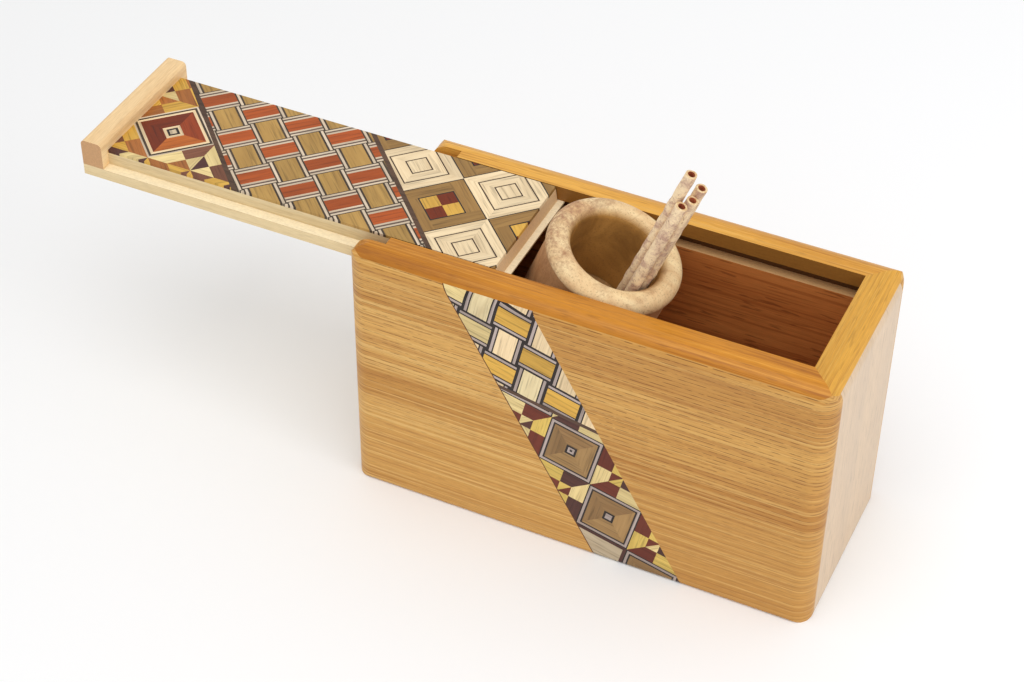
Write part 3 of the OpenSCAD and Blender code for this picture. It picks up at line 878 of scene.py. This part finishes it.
def upper_band():
    """A coarse weave, whose strips are drawn from two woods each."""
    pattern = Pattern(front_spot(46.6, 71.4), (8.8, -2.4), (1.9, 8.4), 4)
    draw = pattern.random.choice
    for i in range(-7, 8):
        for j in range(-7, 8):
            if (i + j) % 2 == 0:
                weave(pattern, i, j, False, [
                    (0.29, draw(BAND_LIGHT)), (0.335, "line"), (0.42, "lilac"), (0.5, "line")])
            else:
                weave(pattern, i, j, True, [
                    (0.29, draw(BAND_WHITE)), (0.33, "line"), (0.41, "lilac"), (0.5, "line")])
    return pattern


MASU_BROWN = [(1.0, 0.955, "line"), (0.955, 0.865, "lilac"), (0.865, 0.805, "line"),
              (0.805, 0.20, ("light_brown", "light_brown", "brown", "brown")),
              (0.20, 0.12, "line")]
MASU_DOT = [*MASU_BROWN, (0.12, 0.045, "lilac")]
MASU_GREY = [(1.0, 0.88, "dark_plum")]
BAND_WAIST = 0.45
WHEEL_LIGHT = ["citron", "pale_yellow"]
WHEEL_DARK = ["maroon", "maroon", "dark_plum"]


def lower_band():
    """Nested squares among pinwheels; one square has a dot, and one is plain grey."""
    pattern = Pattern(front_spot(63.35, 34.6), (7.35, -1.8), (1.8, 7.7), 5)
    for i in range(-5, 6):
        for j in range(-5, 6):
            if (i, j) == (1, -2):
                nested(pattern, 2 * i, 2 * j, MASU_GREY, "pale_grey")
            elif (i, j) == (0, 0):
                nested(pattern, 0, 0, MASU_DOT, "line")
            elif (i + j) % 2 == 0:
                nested(pattern, 2 * i, 2 * j, MASU_BROWN, "lilac")
            else:
                pinwheel(pattern, 2 * i, 2 * j, BAND_WAIST, WHEEL_LIGHT, WHEEL_DARK)
    return pattern


def plain_band(wood_name, grain, seed):
    """One tile that is larger than the band, to be cut to a strip."""
    pattern = Pattern((0, 0), (1, 0), (0, 1), seed)
    pattern.rect(-200, 200, -10, 100, wood_name, grain)
    return pattern


DIVIDER_RUN = (27.2, -5)
DIVIDER_SPACE = share(share(INLAY, STRIP_UP, False), STRIP_DOWN, True)
band_piece("tiles_band_weave", upper_band(), share(INLAY, STRIP_UP, True), 21)
band_piece("tiles_band_squares", lower_band(), share(INLAY, STRIP_DOWN, False), 22)
band_piece("tiles_band_divider", plain_band("dark_strip", DIVIDER_RUN, 6), DIVIDER_SPACE, 23)
band_piece("tiles_band_edge", plain_band("edge_line", (-BAND_SLANT, 1), 7),
           share(BAND, EDGE_LINE, True), 24)


# ---- turned and hollow pieces ------------------------------------------------------------
SMOOTH_BELOW = math.radians(38)


def ringed(name, rings, values, attribute, finish):
    """A closed mesh of rings of equal count, each a list of places in millimetres.

    values gives the attribute's value between each ring and the next.
    """
    n = len(rings[0])
    vertices = [[c * MM for c in p] for ring in rings for p in ring]
    faces, marks = [], []
    for r in range(len(rings)):
        s = (r + 1) % len(rings)
        for i in range(n):
            k = (i + 1) % n
            faces.append([r * n + i, r * n + k, s * n + k, s * n + i])
            marks += [values[r]] * 4
    mesh = bpy.data.meshes.new(name)
    mesh.from_pydata(vertices, [], faces)
    values_kept = mesh.attributes.new(attribute, "FLOAT", "CORNER")
    values_kept.data.foreach_set("value", [float(m) for m in marks])
    mesh.shade_smooth()
    mesh.set_sharp_from_angle(angle=SMOOTH_BELOW)
    mesh.materials.append(FINISH[finish])
    piece = bpy.data.objects.new(name, mesh)
    bpy.context.scene.collection.objects.link(piece)
    return piece


def cup_place(u, v, h):
    """A place in the cup's frame: across it, along the hinge and along its length."""
    p = PIVOT + CUP_SIDE * u + CUP_AXIS * h
    return (p.x, v, p.z)


CUP_SIDES = 128
BASE_H = CUP_REACH - CUP_LENGTH
LIP_R = (CUP_R - BORE_R) / 2
LIP_H = CUP_REACH - LIP_R
LIP_STEPS = 24
DARK_FROM, DARK_OVER = 15, 6


def cup_ring(radius, h, offset=0.0):
    """A ring round the cup's middle line, or beside it by the offset."""
    turns = [2 * math.pi * i / CUP_SIDES for i in range(CUP_SIDES)]
    return [cup_place(-PIVOT_SIDE + offset + radius * math.cos(a), radius * math.sin(a), h)
            for a in turns]


def cup_profile():
    """The cup's outline from its foot over the lip to its floor, as (radius, height, mark)."""
    made = [(BODY_R - 0.5, BASE_H, -1), (BODY_R - 0.15, BASE_H + 0.15, -1),
            (BODY_R, BASE_H + 0.5, -1), (BODY_R, LIP_H - 8, -1), (BODY_R, LIP_H - 1.9, -1),
            (BODY_R + 0.15, LIP_H - 1.6, 0), (CUP_R - 0.25, LIP_H - 1.35, 0),
            (CUP_R - 0.04, LIP_H - 0.9, 0), (CUP_R, LIP_H - 0.4, 0)]
    for k in range(LIP_STEPS + 1):
        turned = math.pi * k / LIP_STEPS
        inside = min(1.0, max(0.0, (k - DARK_FROM) / DARK_OVER))
        made.append((BORE_R + LIP_R + LIP_R * math.cos(turned),
                     LIP_H + LIP_R * math.sin(turned), inside))
    made += [(BORE_R, LIP_H - 6, 1), (BORE_R, BASE_H + 20, 1), (BORE_R, BASE_H + BASE_T, 1)]
    return made


def turned_cup():
    """The cup, with the hole for the push rod in its base."""
    profile = cup_profile()
    rings = [cup_ring(ROD_HOLE_R, BASE_H, ROD_SIDE)]
    rings += [cup_ring(r, h) for r, h, _ in profile]
    rings += [cup_ring(ROD_HOLE_R, BASE_H + BASE_T, ROD_SIDE)]
    marks = [0, *(inside for _, _, inside in profile), 1]
    piece = ringed("turned_cup", rings, marks, "inside", "cup")
    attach(piece, "cup")
    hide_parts("cup")


def in_cup(node):
    """The range of a node across, beside and along the cup."""
    made = []
    for vertex in frame["nodes"][node].data.vertices:
        p = vertex.co / MM - PIVOT
        made.append((p.dot(CUP_SIDE), p.y, p.dot(CUP_AXIS)))
    return [(min(c), max(c)) for c in zip(*made)]


REED_SIDES = 40
REED_STEPS = 60
REED_WAVES = 7
RIM_WEAR = 0.14
RIM_FALL = 0.18
BORE_SHOWN = 12


def reed_waves(seed):
    """The dents along a reed, each as its pitch, start, turns round and depth."""
    shape = random.Random(seed)
    return [(shape.uniform(0.5, 1.6), shape.uniform(0, 6.3), shape.randint(1, 4),
             shape.uniform(0.02, 0.06)) for _ in range(REED_WAVES)]


def reed(node, seed):
    """A cut reed: a wavy bark, a worn rim and a bore."""
    (u0, u1), (v0, v1), (h0, h1) = in_cup(node)
    middle_u, middle_v, radius = (u0 + u1) / 2, (v0 + v1) / 2, (v1 - v0) / 2
    waves = reed_waves(seed)

    def ring(r, h, wavy):
        made = []
        for i in range(REED_SIDES):
            a = 2 * math.pi * i / REED_SIDES
            dent = sum(depth * (0.5 + 0.5 * math.sin(h * pitch + start + a * turns))
                       for pitch, start, turns, depth in waves)
            rr = r - (dent if wavy else 0)
            made.append(cup_place(middle_u + rr * math.cos(a), middle_v + rr * math.sin(a), h))
        return made

    made = [ring(radius, h0 + (h1 - RIM_FALL - h0) * k / REED_STEPS, True)
            for k in range(REED_STEPS + 1)]
    zones = [0] * REED_STEPS + [1]
    made += [ring(radius - RIM_WEAR, h1 - 0.04, True), ring(REED_HOLE_R + 0.16, h1, False),
             ring(REED_HOLE_R, h1 - RIM_WEAR, False),
             ring(REED_HOLE_R, h1 - BORE_SHOWN, False), ring(REED_HOLE_R, h0, False)]
    zones += [1, 1, 2, 2, 0]
    piece = ringed("cut_" + node, made, zones, "zone", "reed")
    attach(piece, "reeds")
    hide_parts(node)


turned_cup()
for index in range(1, 5):
    reed(f"reed_{index}", 40 + index)

# ---- carried CAD nodes -------------------------------------------------------------------
SOFTENED = ("lid_tongue", "lid_plate", "lid_crossbar", "front_lip", "back_lip",
            "right_end_lip")
SOFT_EDGE = 0.25


def soften(node):
    """Rounds a carried node's edges a little."""
    modifier = frame["nodes"][node].modifiers.new("softened", "BEVEL")
    modifier.width = SOFT_EDGE * MM
    modifier.segments = 2
    modifier.limit_method = "ANGLE"
    modifier.angle_limit = math.radians(50)


for node_name, finish_name in NODE_FINISH.items():
    dress(node_name, finish_name)
for node_name in SOFTENED:
    soften(node_name)

# ---- floor, light and camera -------------------------------------------------------------
# Painted shade: the floor's colour runs from FLOOR_DARK towards -X to FLOOR_LIGHT.
FLOOR_DARK = (0.85, 0.85, 0.85, 1)
FLOOR_LIGHT = (0.965, 0.97, 0.98, 1)
FLOOR_CORNERS = [(-4, -4, 0), (4, -4, 0), (4, 6, 0), (-4, 6, 0)]
WHITE = (1, 1, 1, 1)
WORLD_LIGHT = 0.78


def floor_material():
    """A matt floor with painted shade: it gets a little darker towards -X."""
    material, tree, shader = new_material("floor")
    run = maths(tree, "MULTIPLY", parts_of(tree, coordinates(tree))["X"], 0.8)
    tone = ramp(tree, maths(tree, "ADD", run, 0.6), [(0.2, FLOOR_DARK), (0.7, FLOOR_LIGHT)])
    tree.links.new(tone, shader.inputs["Base Color"])
    shader.inputs["Roughness"].default_value = 0.9
    shader.inputs["Specular IOR Level"].default_value = 0.0
    return material


def lay_floor():
    mesh = bpy.data.meshes.new("floor")
    mesh.from_pydata(FLOOR_CORNERS, [], [(0, 1, 2, 3)])
    mesh.materials.append(floor_material())
    floor = bpy.data.objects.new("floor", mesh)
    bpy.context.scene.collection.objects.link(floor)


def light_world():
    """A plain world that lights softly and is pure white where the camera sees it."""
    world = bpy.data.worlds.new("studio")
    bpy.context.scene.world = world
    world.use_nodes = True
    tree = world.node_tree
    backdrop = tree.nodes["Background"]
    backdrop.inputs["Color"].default_value = WHITE
    backdrop.inputs["Strength"].default_value = WORLD_LIGHT
    seen = tree.nodes.new("ShaderNodeBackground")
    seen.inputs["Color"].default_value = WHITE
    seen.inputs["Strength"].default_value = 1.0
    path = tree.nodes.new("ShaderNodeLightPath")
    choose = tree.nodes.new("ShaderNodeMixShader")
    tree.links.new(path.outputs["Is Camera Ray"], choose.inputs[0])
    tree.links.new(backdrop.outputs[0], choose.inputs[1])
    tree.links.new(seen.outputs[0], choose.inputs[2])
    tree.links.new(choose.outputs[0], tree.nodes["World Output"].inputs[0])


AIM = (0, 0, 0.05)


def area_light(name, place, size, power):
    """A round soft lamp that points at the box."""
    lamp = bpy.data.lights.new(name, "AREA")
    lamp.shape = "DISK"
    lamp.size = size
    lamp.energy = power
    holder = bpy.data.objects.new(name, lamp)
    holder.location = place
    holder.rotation_euler = (Vector(AIM) - Vector(place)).to_track_quat("-Z", "Y").to_euler()
    bpy.context.scene.collection.objects.link(holder)


# The photograph's camera, fitted to the box's edges: metres, degrees and millimetres
CAMERA_AT = (0.16066, -0.41653, 0.44037)
CAMERA_TURN, CAMERA_DROP, CAMERA_ROLL = (math.radians(a) for a in (24.72, 41.21, 0.645))
SENSOR_WIDTH = 36.0
LENS = 80.96


def set_camera():
    forward = Vector((
        -math.sin(CAMERA_TURN) * math.cos(CAMERA_DROP),
        math.cos(CAMERA_TURN) * math.cos(CAMERA_DROP), -math.sin(CAMERA_DROP)))
    level = Vector((math.cos(CAMERA_TURN), math.sin(CAMERA_TURN), 0))
    upright = level.cross(forward)
    side = level * math.cos(CAMERA_ROLL) + upright * math.sin(CAMERA_ROLL)
    top = side.cross(forward)
    data = bpy.data.cameras.new("camera")
    data.sensor_width = SENSOR_WIDTH
    data.lens = LENS
    data.clip_start = 0.01
    data.clip_end = 50
    camera = bpy.data.objects.new("camera", data)
    bpy.context.scene.collection.objects.link(camera)
    turned_to = Matrix((side, top, -forward)).transposed().to_4x4()
    camera.matrix_world = Matrix.Translation(CAMERA_AT) @ turned_to
    bpy.context.scene.camera = camera


lay_floor()
light_world()
area_light("key", (1.05, -0.15, 0.62), 0.7, 2.6)
area_light("overhead", (0.1, -0.4, 1.1), 1.0, 4.0)
set_camera()
bpy.context.scene.view_settings.view_transform = "Standard"
